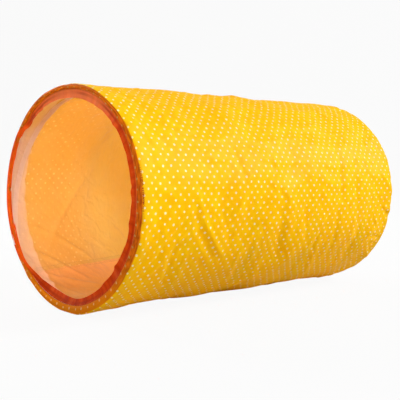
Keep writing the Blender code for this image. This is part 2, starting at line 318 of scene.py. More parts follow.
# The cloth is held at both hoops and along the spring's turns, and settles between them.
cut_u, body_v, body_angle, _, body_x = net(AROUND, ALONG, -hoop_x, hoop_x, cloth_round)
held = np.zeros((ALONG + 1, AROUND))
held[0] = held[-1] = 1.0
row_step = body_v[1] - body_v[0]
for j, angle in enumerate(body_angle[0]):
    for turn in range(-2, spring_turns + 2):
        at_x = -spring_x + spring_pitch * (angle / FULL_TURN + turn)
        if -spring_x <= at_x <= spring_x:
            i = int(round((at_x - body_v[0]) / row_step))
            held[i, j] = 1.0
            for near, share_of in ((i - 1, 0.5), (i, 1.0), (i + 1, 0.5)):
                body_x[near, j] += (at_x - body_v[i]) * share_of
front_radius, widening, floor_slack = 0.1234, 0.0010, 0.0008
body_radius = (front_radius + widening * (body_x + hoop_x) / (2 * hoop_x)
               + floor_slack * hump(body_angle, 270, 20))
body_grid = on_tube(body_x, body_angle, body_radius)
SETTLING_FRAMES, SETTLED_SHARE = 22, 0.6

resting = new_object("cover_rest", cloth_mesh("cover_rest", body_grid, cut_u, body_v))
group = resting.vertex_groups.new(name="held")
group.add(np.nonzero(held.ravel())[0].tolist(), 1.0, "REPLACE")
cloth = resting.modifiers.new("settle", "CLOTH")
cloth.settings.vertex_group_mass = "held"
for key, value in (("quality", 5), ("mass", 0.04), ("tension_stiffness", 30.0),
                   ("compression_stiffness", 30.0), ("shear_stiffness", 12.0),
                   ("bending_stiffness", 0.5), ("shrink_min", -0.0012),
                   ("air_damping", 1.0)):
    setattr(cloth.settings, key, value)
cloth.settings.effector_weights.gravity = 0.3
cloth.collision_settings.use_collision = False
cloth.point_cache.frame_end = SETTLING_FRAMES
for number in range(1, SETTLING_FRAMES + 1):
    scene.frame_set(number)
settled = resting.evaluated_get(bpy.context.evaluated_depsgraph_get())
points = np.empty(body_grid.size, np.float32)
settled.data.vertices.foreach_get("co", points)
bpy.data.objects.remove(resting, do_unlink=True)
scene.frame_set(1)
# The real cloth has been smoothed by hand, which takes out part of what it settled.
body_grid += SETTLED_SHARE * (points.reshape(body_grid.shape) - body_grid)

# The folds are finer than the cloth that was settled, so its grid is doubled both ways.
body_grid = between(body_grid, False)
body_grid = between(body_grid.swapaxes(0, 1), True).swapaxes(0, 1)
AROUND, ALONG = 2 * AROUND, 2 * ALONG
cut_u, body_v, body_angle = net(AROUND, ALONG, -hoop_x, hoop_x, cloth_round)[:3]
angles = body_angle[0]


def hem_roll(angle, side):
    """The hem's outer radius, the radius of its stitches and how far its nose stands out.

    It is tight over the hoop on top and on the far side, and hangs slack below it and on the
    near side."""
    if side < 0:
        outer = 0.1227 + 0.0030 * hump(angle, 258, 42) + 0.0026 * hump(angle, 180, 42)
        stitched = stitch_radius - 0.0034 * hump(angle, 184, 46)
        nose = 0.0034 - 0.0014 * hump(angle, 310, 55)
    else:
        outer = 0.1234 + 0.0010 * hump(angle, 250, 60)
        stitched = stitch_radius - 0.0010 * hump(angle, 60, 60)
        nose = 0.0034 + 0 * angle
    return outer, stitched, nose


def hem_wander(angle, v):
    """How far a hem strays off its line, along the tunnel and outwards."""
    return (smooth_noise(17, angle, angle * 0, 8, 0.3) * 0.0006,
            smooth_noise(16, angle, v, 12, 0.30) * 0.0003)


def end_rows(side):
    """Rows of cloth from the hoop round the roll and a little way back, and their v."""
    outer, stitched, nose = hem_roll(angles, side)
    roll = (outer - stitched) / 2
    rows, places = [], []
    for turn in np.linspace(math.pi / 2, -math.pi / 2, NOSE_ROWS + 1)[1:]:
        rows.append((side * (hoop_x + nose * math.cos(turn)), outer - roll + roll * math.sin(turn)))
        places.append(side * (hoop_x + hem_radius * (math.pi / 2 - turn)))
    for k in range(1, LEG_ROWS + 1):
        done = k / LEG_ROWS
        rows.append((np.full(AROUND, side * (hoop_x - LEG * done)),
                     stitched + (leg_radius - stitched) * done))
        places.append(places[-1] + side * LEG / LEG_ROWS)
    return np.stack([on_tube(x, angles, r) for x, r in rows]), places


front_rows, front_v = end_rows(-1)
rear_rows, rear_v = end_rows(1)
cover_grid = np.concatenate([front_rows[::-1], body_grid, rear_rows])
cut_v = np.array(front_v[::-1] + list(body_v) + rear_v)
cover_angle = np.arctan2(cover_grid[..., 2] - axis_z, cover_grid[..., 1])
cover_radius = np.hypot(cover_grid[..., 1], cover_grid[..., 2] - axis_z)
grid_u, grid_v = np.meshgrid(cut_u[:-1], cut_v)
end_reach = np.minimum(grid_v - cut_v[0], cut_v[-1] - grid_v)
rim_cut = cut_v[-1] - hoop_x              # cloth from the cut edge to the top of the hoop

# Folds: puckers that run away from each hem, long soft ones round the tube between the
# spring's turns, small dents, and the larger pulls of the near side one by one.
whole_length = (-hoop_x, hoop_x)
fold = sum(creases(grid_u, grid_v, cloth_round, *kind) for kind in (
    (11, 70, (-hoop_x + 0.002, -hoop_x + 0.034), (0.006, 0.020), 0.0010, 0.0034, (20, 65)),
    (12, 120, (hoop_x - 0.034, hoop_x - 0.002), (0.006, 0.020), 0.0014, 0.0032, (10, 60)),
    (13, 110, whole_length, (0.014, 0.045), 0.0013, 0.0056, (62, 90)),
    (14, 90, whole_length, (0.008, 0.024), 0.0008, 0.0032, (30, 80))))
fold += folds_by_hand(
    grid_u, grid_v, rim_radius, 1.05,
    ((177, -0.158), (208, -0.107), 0.006, -0.0016, 0.0052),
    ((174, -0.150), (207, -0.097), 0.006, 0.0011, 0.0034),
    ((184, -0.108), (199, -0.090), 0.002, -0.0012, 0.0050),
    ((187, -0.164), (218, -0.206), 0.003, -0.0012, 0.0026),
    ((192, -0.160), (221, -0.197), 0.003, 0.0010, 0.0028),
    ((198, -0.172), (224, -0.161), 0.002, -0.0019, 0.0044),
    ((200, -0.186), (220, -0.199), 0.001, -0.0013, 0.0034),
    ((205, -0.152), (228, -0.146), 0.002, 0.0010, 0.0040),
    ((206, -0.050), (232, -0.030), 0.002, -0.0018, 0.0046),
    ((210, -0.068), (230, -0.052), 0.002, 0.0010, 0.0040),
    ((176, -0.014), (212, 0.008), 0.003, -0.0012, 0.0070),
    ((176, 0.004), (206, 0.018), 0.002, 0.0008, 0.0058),
    ((144, -0.046), (184, 0.010), 0.004, 0.0010, 0.0050),
    ((183, 0.034), (202, 0.046), 0.002, -0.0010, 0.0046),
    ((200, 0.072), (222, 0.058), -0.003, -0.0015, 0.0036),
    ((186, 0.100), (214, 0.112), 0.002, -0.0010, 0.0048),
    ((170, 0.138), (196, 0.148), 0.002, -0.0007, 0.0054),
    ((150, 0.116), (174, 0.106), 0.002, -0.0009, 0.0040),
    ((138, 0.190), (150, 0.182), 0.001, -0.0012, 0.0034),
    ((112, -0.196), (140, -0.158), 0.004, -0.0010, 0.0046),
    ((118, -0.120), (140, -0.100), 0.003, -0.0008, 0.0050))
slow = smooth_noise(15, cover_angle, grid_v, 9, 0.07) * 0.0013
on_body = eased(np.clip((end_reach - rim_cut) / 0.020, 0.0, 1.0))
strays, wobble = hem_wander(cover_angle, grid_v)
near_rim = np.where(grid_v < 0, hem_roll(angles, -1)[0], hem_roll(angles, 1)[0])
cover_radius = np.where(np.abs(grid_v) <= hoop_x + 1e-6,
                        near_rim + (cover_radius - near_rim) * on_body, cover_radius)
# It is sewn to the spring's casing, so that the folds run out where a turn lies under it.
turns_off = ((grid_v + spring_x) / spring_pitch - cover_angle / FULL_TURN) % 1.0
from_spring = np.minimum(turns_off, 1 - turns_off) * spring_pitch
freed = np.where(np.abs(grid_v) < spring_x + 0.005,
                 eased(np.clip((from_spring - 0.003) / 0.010, 0.0, 1.0)), 1.0)
fold = np.where(fold < 0, fold * (0.3 + 0.7 * freed), fold)
cover_radius += fold * np.clip(end_reach / 0.014, 0.15, 1.0) + slow * on_body + wobble
clear_of_casing = 0.1196
cover_radius = np.where(np.abs(grid_v) < hoop_x - 0.010,
                        np.maximum(cover_radius, clear_of_casing), cover_radius)
# Behind the front rim the cloth sags a little on top, and it lifts off the floor further on.
cover_radius -= 0.0018 * hump(cover_angle, 84, 30) * np.exp(-((grid_v + 0.194) / 0.024) ** 2)
cover_radius -= 0.0022 * hump(cover_angle, 250, 20) * np.exp(-((grid_v + 0.112) / 0.040) ** 2)
cover_radius = np.where(end_reach > 0.014, np.minimum(cover_radius, rim_radius + 0.0022),
                        cover_radius)
cover_x = cover_grid[..., 0] + strays * np.clip((np.abs(grid_v) - hoop_x) / 0.003, 0.0, 1.0)
cover_grid = on_tube(cover_x, cover_angle, cover_radius)
cover_grid[..., 2] = np.maximum(cover_grid[..., 2], 0.0002)
whole = cloth_mesh("cover_whole", cover_grid, cut_u, cut_v)
normals = np.empty(cover_grid.size, np.float32)
whole.vertex_normals.foreach_get("vector", normals)
normals = normals.reshape(cover_grid.shape)
bpy.data.meshes.remove(whole)


def part_of_cover(name, first, last):
    """The sheet's rows from first to last as a piece, with the whole sheet's shading."""
    rows = slice(first, last + 1)
    mesh = cloth_mesh(name, cover_grid[rows], cut_u, cut_v[rows])
    mesh.normals_split_custom_set_from_vertices(normals[rows].reshape(-1, 3).tolist())
    return new_object(name, mesh)


front_hoop_row = len(front_v)
rear_hoop_row = front_hoop_row + ALONG
front_rim = part_of_cover("cover_front_rim", 0, front_hoop_row)
cover_body = part_of_cover("cover_body", front_hoop_row, rear_hoop_row)
rear_rim = part_of_cover("cover_rear_rim", rear_hoop_row, len(cut_v) - 1)


def times(first, second):
    return calc("MULTIPLY", first, second)


def plus(first, second):
    return calc("ADD", first, second)


def minus(first, second):
    return calc("SUBTRACT", first, second)


def vector(operation, *values, **named):
    return add(values[0].id_data, "ShaderNodeVectorMath", *values, operation=operation,
               **named).outputs[0]


def noise(place, **values):
    return add(place.id_data, "ShaderNodeTexNoise", Vector=place, **values).outputs[0]


def xyz(place):
    return add(place.id_data, "ShaderNodeSeparateXYZ", place).outputs


def steps(value, low, high, to_low=0.0, to_high=1.0):
    """A smooth ramp of value from low to high."""
    return add(value.id_data, "ShaderNodeMapRange", interpolation_type="SMOOTHSTEP", Value=value,
               From_Min=low, From_Max=high, To_Min=to_low, To_Max=to_high).outputs["Result"]


def mixed(factor, first, second):
    """A colour between two, each a socket or a plain colour."""
    tree = next(v for v in (factor, first, second) if isinstance(v, bpy.types.NodeSocket)).id_data
    node = add(tree, "ShaderNodeMix", factor, data_type="RGBA")
    sockets = [slot for slot, s in enumerate(node.inputs) if s.type == "RGBA"]
    feed(node, dict(zip(sockets, (first, second))))
    return next(s for s in node.outputs if s.type == "RGBA")


def moved(factor, first, second):
    """A place between two, each a socket or plain."""
    node = add(second.id_data, "ShaderNodeMix", factor, data_type="VECTOR")
    feed(node, {4: first, 5: second})
    return next(s for s in node.outputs if s.type == "VECTOR")


def node_group(name, value, standard, *outputs):
    """An empty node group on the flat cloth with one more value, and its two end nodes."""
    tree = bpy.data.node_groups.new(name, "ShaderNodeTree")
    tree.interface.new_socket("Cloth", in_out="INPUT", socket_type="NodeSocketVector")
    tree.interface.new_socket(value, in_out="INPUT",
                              socket_type="NodeSocketFloat").default_value = standard
    for label in outputs:
        tree.interface.new_socket(label, in_out="OUTPUT", socket_type="NodeSocketFloat")
    start = tree.nodes.new("NodeGroupInput").outputs
    return tree, start["Cloth"], start[value], tree.nodes.new("NodeGroupOutput")


# The print: round dots on a square net that stands on its corners, each a little off its
# place, as a cheap screen print lays them.
DOT_ROWS = 130                            # rows of dots round the tube, 6 mm apart
dot_net = cloth_round / DOT_ROWS * math.sqrt(2)
printed, cloth, radius, end = node_group("printed_dots", "Radius", 0.00125, "Dots")
turned = add(printed, "ShaderNodeVectorRotate", cloth, rotation_type="Z_AXIS",
             Angle=math.radians(45.0)).outputs[0]
scaled = vector("SCALE", turned, Scale=1.0 / dot_net)
cell = vector("FLOOR", scaled)
chance = add(printed, "ShaderNodeTexWhiteNoise", noise_dimensions="2D", Vector=cell).outputs
from_middle = xyz(vector("SUBTRACT", vector("SUBTRACT", scaled, cell),
                         moved(0.15, (0.5, 0.5, 0.0), chance["Color"])))
far = calc("SQRT", plus(calc("POWER", from_middle[0], 2.0), calc("POWER", from_middle[1], 2.0)))
ragged = noise(cloth, Scale=1800.0, Detail=1.0)
size = times(times(radius, 1.0 / dot_net), plus(0.66, times(ragged, 0.44)))
size = times(size, plus(0.90, times(chance["Value"], 0.34)))
edge = calc("DIVIDE", minus(far, size), 0.030)
feed(end, {"Dots": calc("SUBTRACT", 0.5, edge, clamp=True)})

# The weave: warp and weft threads over and under each other, as a height.
weave, cloth, thread, end = node_group("plain_weave", "Thread", 0.00032, "Height", "Slubs")
across, along = [calc("SINE", at) for at in xyz(vector(
    "SCALE", cloth, Scale=calc("DIVIDE", math.pi, thread)))[:2]]
over = calc("GREATER_THAN", times(across, along), 0.0)
feed(end, {"Height": plus(times(calc("ABSOLUTE", across), over),
                          times(calc("ABSOLUTE", along), minus(1.0, over))),
           "Slubs": noise(vector("MULTIPLY", cloth, (1.0, 8.0, 1.0)), Scale=90.0, Detail=4.0)})

# The crumple: fine irregular creases, as a height.
crumple, cloth, size, end = node_group("crumpled_cloth", "Size", 60.0, "Height", "Mottle")
broad = add(crumple, "ShaderNodeTexNoise", Vector=cloth, Scale=size, Detail=3.0).outputs
ridges = add(crumple, "ShaderNodeTexVoronoi", feature="DISTANCE_TO_EDGE", Scale=size,
             Vector=moved(0.02, cloth, broad["Color"]))
feed(end, {"Height": plus(steps(ridges.outputs["Distance"], 0.0, 0.25), broad[0]),
           "Mottle": broad[0]})


def cloth_material(name):
    """A new material with its shader, and its flat cloth coordinate in metres."""
    made, tree, shader = new_material(name)
    return made, shader, add(tree, "ShaderNodeUVMap", uv_map="cut_cloth").outputs[0]


def use_group(group, cloth, **values):
    return add(cloth.id_data, "ShaderNodeGroup", node_tree=group, Cloth=cloth, **values).outputs


def bump(shaders, *heights):
    """Bump nodes one after another, from (height, strength, distance in metres)."""
    last = {}
    for height, strength, distance in heights:
        last = {"Normal": add(height.id_data, "ShaderNodeBump", Strength=strength,
                              Distance=distance, Height=height, **last).outputs[0]}
    for shader in shaders:
        feed(shader, last)


def let_light_through(shader, colour, amount):
    """Mixes a Translucent shader in, so that light from behind glows in the cloth."""
    tree = shader.id_data
    through = add(tree, "ShaderNodeBsdfTranslucent", Color=colour)
    both = add(tree, "ShaderNodeMixShader", amount, shader.outputs[0], through.outputs[0])
    feed(tree.nodes["Material Output"], {"Surface": both.outputs[0]})
    return through


cover_cloth, shader, cloth = cloth_material("dotted_yellow_cloth")
dots = use_group(printed, cloth)
threads = use_group(weave, cloth)
crumples = use_group(crumple, cloth, Size=70.0)
ground = mixed(steps(crumples["Mottle"], 0.3, 0.7), srgb(254, 205, 0), srgb(255, 215, 3))
ground = mixed(times(threads["Slubs"], 0.12), ground, srgb(244, 174, 0))
# Painted shade: where the hem rolls in over the hoop, facing into the mouth, its cloth is painted a
# darker orange-brown, less dark towards the floor.
at_u, at_v = xyz(cloth)[:2]
from_middle = calc("ABSOLUTE", at_v)
on_roll = steps(from_middle, hoop_x + 0.0022, hoop_x + 0.0034)
from_floor = calc("MINIMUM", at_u, minus(cloth_round, at_u))
painted_roll_shade = mixed(steps(threads["Slubs"], 0.35, 0.65), srgb(162, 70, 2), srgb(222, 114, 6))
painted_roll_shade = mixed(steps(from_floor, 0.140, 0.060, 0.0, 0.75), painted_roll_shade, srgb(242, 144, 2))
ground = mixed(on_roll, ground, painted_roll_shade)
side = add(cloth.id_data, "ShaderNodeNewGeometry").outputs["Backfacing"]
# The dots are a little fainter on the cloth's back. On the roll they are painted fainter and greyer
# as painted shade, and lighter towards the floor.
strength = minus(minus(0.96, times(side, 0.10)), times(on_roll, 0.40))
ink_and_painted_shade = mixed(on_roll, srgb(255, 250, 206), mixed(
    steps(from_floor, 0.140, 0.060), srgb(176, 170, 92), srgb(246, 232, 150)))
colour = mixed(times(dots["Dots"], strength), ground, ink_and_painted_shade)
# The last of the turned-in edge is the cloth's unprinted white selvedge.
colour = mixed(steps(from_middle, cut_v[-1] - 0.0072, cut_v[-1] - 0.0068), colour,
               srgb(246, 232, 222))
feed(shader, {"Base Color": colour, "Roughness": 0.43, "Specular IOR Level": 0.055})
through = let_light_through(shader, mixed(0.15, colour, srgb(255, 156, 0)), 0.36)
bump((shader, through), (crumples["Height"], 0.22, 0.0006), (threads["Height"], 0.25, 0.00008))

for piece, body in ((front_rim, "root"), (cover_body, "root"), (rear_rim, "rear_end")):
    piece.data.materials.append(cover_cloth)
    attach(piece, body)
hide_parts("outer_cover")


def shorten(piece):
    """Gives the piece a mesh of its own."""
    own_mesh(piece)


shorten(cover_body)

# The spring and its casing
# One hard steel wire wound from end to end, inside a white bias tape that is sewn to the
# cover. The tape shows through the sheer lining as a pale slanting band.
wire_path_radius = 0.1202
wire_sides = 8


def helix(radius, shift_x, turns_from, turns_to, per_turn=72):
    turns = np.linspace(turns_from, turns_to, int(per_turn * (turns_to - turns_from)) + 1)
    return on_tube(-spring_x + spring_pitch * turns + shift_x, FULL_TURN * turns, radius)


def strip_mesh(name, lines, closed=False):
    """A mesh between lines of points that lie side by side, with a UV map in metres."""
    grid = np.stack(lines)
    length = np.cumsum(np.linalg.norm(np.diff(grid[0], axis=0), axis=1))
    return cloth_mesh(name, grid, np.concatenate([[0.0], length]),
                      np.linalg.norm(grid[:, 0] - grid[0, 0], axis=1), False, closed)


def grained_material(name, dark, light, edges, values, **grain):
    """A plain material between two colours, in a fine grain of the piece's own place."""
    made, tree, shader = new_material(name)
    fine = noise(add(tree, "ShaderNodeTexCoord").outputs["Object"], **grain)
    feed(shader, {"Base Color": mixed(steps(fine, *edges) if edges else fine, dark, light)}
         | values)
    return made


wire_mesh = strip_mesh("spring_wire", [
    helix(wire_path_radius + wire_radius * math.cos(turn), wire_radius * math.sin(turn), 0.0,
          spring_turns) for turn in FULL_TURN * np.arange(wire_sides) / wire_sides], closed=True)
spring_wire = new_object("spring_wire", wire_mesh)
steel = grained_material("coated_steel", srgb(150, 150, 152), srgb(196, 196, 196), (0.35, 0.7),
                         {"Metallic": 0.9, "Roughness": 0.38}, Scale=900.0, Detail=3.0)
wire_mesh.materials.append(steel)
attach(spring_wire, "root")
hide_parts("spiral_spring")
shorten(spring_wire)

casing_width = 0.007
casing_lines = [helix(0.1188 + lift, across * casing_width, -0.09, spring_turns - 0.02)
                for across, lift in (
                    (-0.25, 0.0004), (-0.5, 0.0002), (-0.5, 0.0), (-0.25, 0.0), (-0.1, -0.0005),
                    (0.1, -0.0005), (0.25, 0.0), (0.5, 0.0), (0.5, 0.0002), (0.25, 0.0004))]
casing = new_object("casing_tape", strip_mesh("casing_tape", casing_lines))
casing_cloth, shader, cloth = cloth_material("white_bias_tape")
threads = use_group(weave, cloth, Thread=0.0004)
feed(shader, {"Base Color": mixed(threads["Slubs"], srgb(246, 236, 238), srgb(254, 250, 252)),
              "Roughness": 0.8})
through = let_light_through(shader, srgb(255, 246, 244), 0.45)
bump((shader, through), (threads["Height"], 0.5, 0.0001))
casing.data.materials.append(casing_cloth)
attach(casing, "root")
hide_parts("spring_casing")
shorten(casing)

# The crinkle film
# A loose sheet of thin clear plastic, rolled once round between cover and lining. It is
# crumpled all over, which makes it rustle.
film_low, film_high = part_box("crinkle_film")
film_radius, film_play = 0.1182, 0.0002
film_u, film_v, angle, u, v = net(180, 90, film_low.x, film_high.x, FULL_TURN * film_radius)
dents = creases(u, v, film_u[-1], 31, 500, (film_v[0], film_v[-1]), (0.008, 0.03), 0.0004, 0.003,
                (0, 90))
film_grid = on_tube(v, angle, film_radius + np.clip(dents, -film_play, film_play))
film = new_object("rustling_film", cloth_mesh("rustling_film", film_grid, film_u, film_v))
clear_film, shader, cloth = cloth_material("clear_film")
feed(shader, {"Base Color": srgb(250, 244, 232), "Roughness": 0.22, "Alpha": 0.12})
bump((shader,), (use_group(crumple, cloth, Size=45.0)["Height"], 0.6, 0.001))
film.data.materials.append(clear_film)
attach(film, "root")
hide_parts("crinkle_film")
shorten(film)

# The lining
# A tube of sheer orange polyester, sewn in at both rims and hanging loose between them.
# One lengthwise seam is lapped, and its edge shows low on the far wall.
LINING_AROUND, LINING_ALONG = 384, 220
SEAM_MIDDLE, SEAM_SLANT = -45.0, 31.0     # in degrees, and degrees per metre along the tunnel
lining_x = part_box("lining")[1].x
lining_radius, lining_end = 0.117, stitch_radius - 0.0004
lining_round = FULL_TURN * lining_radius
lining_u, lining_v, angle, u, v = net(LINING_AROUND, LINING_ALONG, -lining_x, lining_x,
                                      lining_round)
end_reach = lining_x - np.abs(v)
bag = 0.0012 + 0.0014 * np.sin(angle)     # its weight pulls it in on top and out below
turns_off = ((v + spring_x) / spring_pitch - angle / FULL_TURN) % 1.0
sewn = np.where(v < 0, hem_roll(angle, -1)[1], hem_roll(angle, 1)[1]) - 0.0004
radius = sewn + (lining_end - sewn) * np.clip(end_reach / 0.008, 0, 1)
radius += 0.0012 * np.clip(end_reach / 0.012, 0, 1)
radius -= bag * 4 * turns_off * (1 - turns_off) * np.clip(end_reach / 0.02, 0, 1)
whole_length = (-lining_x, lining_x)
folds = sum(creases(u, v, lining_u[-1], *kind) for kind in (
    (41, 60, whole_length, (0.02, 0.07), 0.0016, 0.0044, (0, 60)),
    (42, 160, whole_length, (0.012, 0.045), 0.0008, 0.0016, (20, 70)),
    (43, 90, whole_length, (0.008, 0.02), 0.0004, 0.0018, (0, 90))))
# The rucks of the loose cloth on the floor, just inside the front mouth.
folds += folds_by_hand(
    u, v, lining_radius, 1.0,
    ((-38, -0.206), (-62, -0.150), 0.004, -0.0026, 0.0030),
    ((-44, -0.208), (-84, -0.160), 0.003, 0.0012, 0.0022),
    ((-56, -0.196), (-76, -0.110), -0.004, -0.0028, 0.0034),
    ((-60, -0.206), (-92, -0.172), 0.002, -0.0024, 0.0026),
    ((-70, -0.180), (-94, -0.120), 0.004, 0.0012, 0.0026),
    ((-22, -0.196), (-44, -0.130), 0.003, -0.0016, 0.0030))
radius += np.clip(folds, -0.004, 0.0012) * np.clip(end_reach / 0.01, 0.2, 1)
radius = np.minimum(radius, film_radius - 0.0004)
# At its rear end it is cut narrow enough to gather inside the hem when the tunnel is shut.
gathered_reach = (end_reach * (1 - travel / (2 * hoop_x)) + 0.0015) / LEG
radius = np.where(v > 0, np.minimum(radius, sewn + (leg_radius - 0.0004 - sewn) * np.clip(
    gathered_reach, 0, 1)), radius)
lining = new_object("sheer_lining", cloth_mesh(
    "sheer_lining", on_tube(v, angle, radius), lining_u, lining_v))
sheer_cloth, shader, cloth = cloth_material("sheer_orange_cloth")
threads = use_group(weave, cloth, Thread=0.00022)
crumples = use_group(crumple, cloth, Size=55.0)
# Near the rims it lies on the cover, whose print and colour show through it; further in it
# hangs clear of the cover.
at_u, at_v = xyz(cloth)[:2]
from_middle = calc("ABSOLUTE", at_v)
clear_of_cover = steps(from_middle, 0.165, 0.085)
colour = mixed(clear_of_cover,
               mixed(crumples["Mottle"], srgb(255, 190, 100), srgb(255, 200, 124)),
               mixed(crumples["Mottle"], srgb(255, 218, 110), srgb(255, 226, 134)))
# It is lapped at the seam, and below it the cloth lies double and looks deeper. Painted sheen:
# along the floor, towards the far wall, that deeper tint fades out and the cloth is painted paler.
lap = plus((math.radians(SEAM_MIDDLE) - SEAM_ANGLE) * lining_radius,
           times(at_v, math.radians(SEAM_SLANT) * lining_radius))
lapped = steps(minus(lap, at_u), 0.0, 0.0015)
off_floor = steps(at_u, 0.030, 0.085, 0.0, 0.50)
colour = mixed(times(lapped, off_floor), colour, srgb(255, 170, 118))
colour = mixed(steps(at_u, 0.065, 0.030, 0.0, 0.60), colour, srgb(255, 220, 166))
# The spring's white casing and the wide hem allowance lie right behind it and pale it.
turn = minus(calc("DIVIDE", plus(at_v, spring_x), spring_pitch),
             plus(calc("DIVIDE", at_u, lining_round), SEAM_ANGLE / FULL_TURN))
off_casing = times(calc("PINGPONG", plus(turn, 4.0), 0.5), spring_pitch)
on_casing = times(steps(off_casing, 0.0046, 0.0034), steps(from_middle, 0.160, 0.178))
hem_edge = plus(from_middle, times(crumples["Mottle"], 0.010))
on_hem = steps(hem_edge, lining_x - 0.0155, lining_x - 0.0125)
backed = calc("MAXIMUM", times(on_casing, 0.85), times(on_hem, 0.60))
colour = mixed(backed, colour, srgb(255, 232, 226))
# The cover's print shows where the lining is pressed against it.
pressed = steps(noise(cloth, Scale=26.0), 0.40, 0.62, 0.06, 0.40)
shows = times(minus(1.0, clear_of_cover), minus(1.0, calc("MAXIMUM", backed, lapped)))
shows = times(times(shows, pressed), use_group(printed, cloth)["Dots"])
colour = mixed(shows, colour, srgb(255, 244, 190))
alpha = plus(0.36, times(clear_of_cover, 0.40))
for mask, amount in ((shows, 0.5), (lapped, 0.12), (backed, 0.48), (threads["Slubs"], 0.16)):
    alpha = plus(alpha, times(mask, amount))
feed(shader, {"Base Color": colour, "Roughness": 0.36, "Specular IOR Level": 0.5,
              "Sheen Weight": 1.0, "Sheen Roughness": 0.4, "Sheen Tint": srgb(255, 232, 214),
              "Alpha": alpha})
through = let_light_through(shader, colour, 0.30)
bump((shader, through), (crumples["Height"], 0.45, 0.0014), (threads["Height"], 0.2, 0.00006))
lining.data.materials.append(sheer_cloth)
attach(lining, "root")
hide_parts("lining")
shorten(lining)

# A thin tape is sewn along the seam; it follows the lining and wanders a little.
tape_low, tape_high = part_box("lining_seam_tape")
seam_x = np.linspace(tape_low.x, tape_high.x, 180)
seam_angle = np.radians(SEAM_MIDDLE + SEAM_SLANT * seam_x)


def on_lining(x, at_angle):
    """The lining's radius at places along and round it, on straight lines between points."""
    row = np.clip((x + lining_x) / (2 * lining_x) * LINING_ALONG, 0, LINING_ALONG - 1e-6)
    column = (at_angle - SEAM_ANGLE) / FULL_TURN % 1.0 * LINING_AROUND
    i, j = row.astype(int), column.astype(int) % LINING_AROUND
    down, aside = row - i, column % 1.0
    k = (j + 1) % LINING_AROUND
    return ((1 - down) * ((1 - aside) * radius[i, j] + aside * radius[i, k])
            + down * ((1 - aside) * radius[i + 1, j] + aside * radius[i + 1, k]))


seam_lines = []
for across, under in ((-0.0028, 0.0003), (-0.004, 0.00015), (-0.004, 0.0), (-0.002, 0.0),
                      (0.0, 0.0), (0.002, 0.0), (0.004, 0.0), (0.004, 0.00015),
                      (0.0028, 0.0003)):
    line_angle = seam_angle + (across + 0.0008 * np.sin(seam_x * 23.0)) / lining_radius
    seam_lines.append(on_tube(seam_x, line_angle, on_lining(seam_x, line_angle) - 0.0005 + under))
seam = new_object("seam_tape", strip_mesh("seam_tape", seam_lines))
thin_tape, shader, cloth = cloth_material("thin_seam_tape")
threads = use_group(weave, cloth, Thread=0.0003)
feed(shader, {"Base Color": mixed(threads["Slubs"], srgb(255, 226, 200), srgb(255, 236, 214)),
              "Roughness": 0.5, "Alpha": 0.03})
through = let_light_through(shader, srgb(255, 214, 170), 0.012)
bump((shader, through), (threads["Height"], 0.3, 0.00008))
seam.data.materials.append(thin_tape)
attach(seam, "root")
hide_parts("lining_seam_tape")
shorten(seam)

# The facings
# A ring of orange tape inside each rim, gathered as it was sewn on, so that its free inner
# edge waves. On the far side of the front mouth it has turned in along the wall.
FACING_AROUND, FACING_ACROSS = 640, 8
TURNED_IN = math.radians(-4.0)            # the middle of where it has turned in
facing_width = 0.0098
facing_fold = 0.0012                      # the raw outer edge is turned under
facing_outer = stitch_radius + 0.0006     # of the line that it is gathered to
facing_round = FULL_TURN * facing_outer
facing_angle = np.arange(FACING_AROUND) * FULL_TURN / FACING_AROUND
tape_cloth, shader, cloth = cloth_material("orange_tape")
threads = use_group(weave, cloth, Thread=0.0004)
crumples = use_group(crumple, cloth, Size=120.0)
colour = mixed(crumples["Mottle"], srgb(166, 54, 0), srgb(190, 74, 4))
# The gathers: broad soft folds across the tape, with painted highlight on their crests and painted
# shade in the valleys.
lengthwise = vector("MULTIPLY", cloth, (1.0, 0.16, 1.0))
gathers = noise(lengthwise, Scale=105.0, Detail=2.5)
colour = mixed(steps(gathers, 0.52, 0.38, 0.0, 0.70), colour, srgb(128, 34, 0))
colour = mixed(steps(gathers, 0.52, 0.68, 0.0, 0.75), colour, srgb(204, 96, 38))
# Painted highlight: at the top, where it lies fullest, its satin face is painted pale. Painted
# glow: where it has turned in, on the far side, it lies in a single layer and is painted a bright
# orange, as if lit from behind.
at_u, at_v = xyz(cloth)[:2]
off_top = calc("ABSOLUTE", minus(at_u, math.pi / 2 * facing_outer))
colour = mixed(steps(off_top, 0.100, 0.045, 0.0, 0.50), colour, srgb(228, 144, 84))
far_side = calc("MAXIMUM", steps(at_u, 0.090, 0.080),
                steps(at_u, facing_round - 0.120, facing_round - 0.090))
colour = mixed(times(far_side, 0.75), colour, srgb(240, 92, 8))
# It is drawn in along its middle, and painted shade darkens it there; its outer edge, where it is
# stitched down, is darker and browner.
across = calc("DIVIDE", minus(at_v, 0.0044), 0.0018)
valley = times(steps(times(across, across), 1.0, 0.0),
               steps(noise(lengthwise, Scale=14.0), 0.40, 0.60, 0.1, 0.75))
colour = mixed(times(valley, minus(1.0, far_side)), colour, srgb(106, 20, 0))
colour = mixed(steps(at_v, 0.0022, 0.0004, 0.0, 0.6), colour, srgb(132, 52, 8))
feed(shader, {"Base Color": colour, "Roughness": 0.38, "Specular IOR Level": 0.05})
through = let_light_through(shader, srgb(250, 84, 10), 0.30)
bump((shader, through), (gathers, 0.6, 0.0012), (crumples["Height"], 0.3, 0.0004),
     (threads["Height"], 0.5, 0.0001))


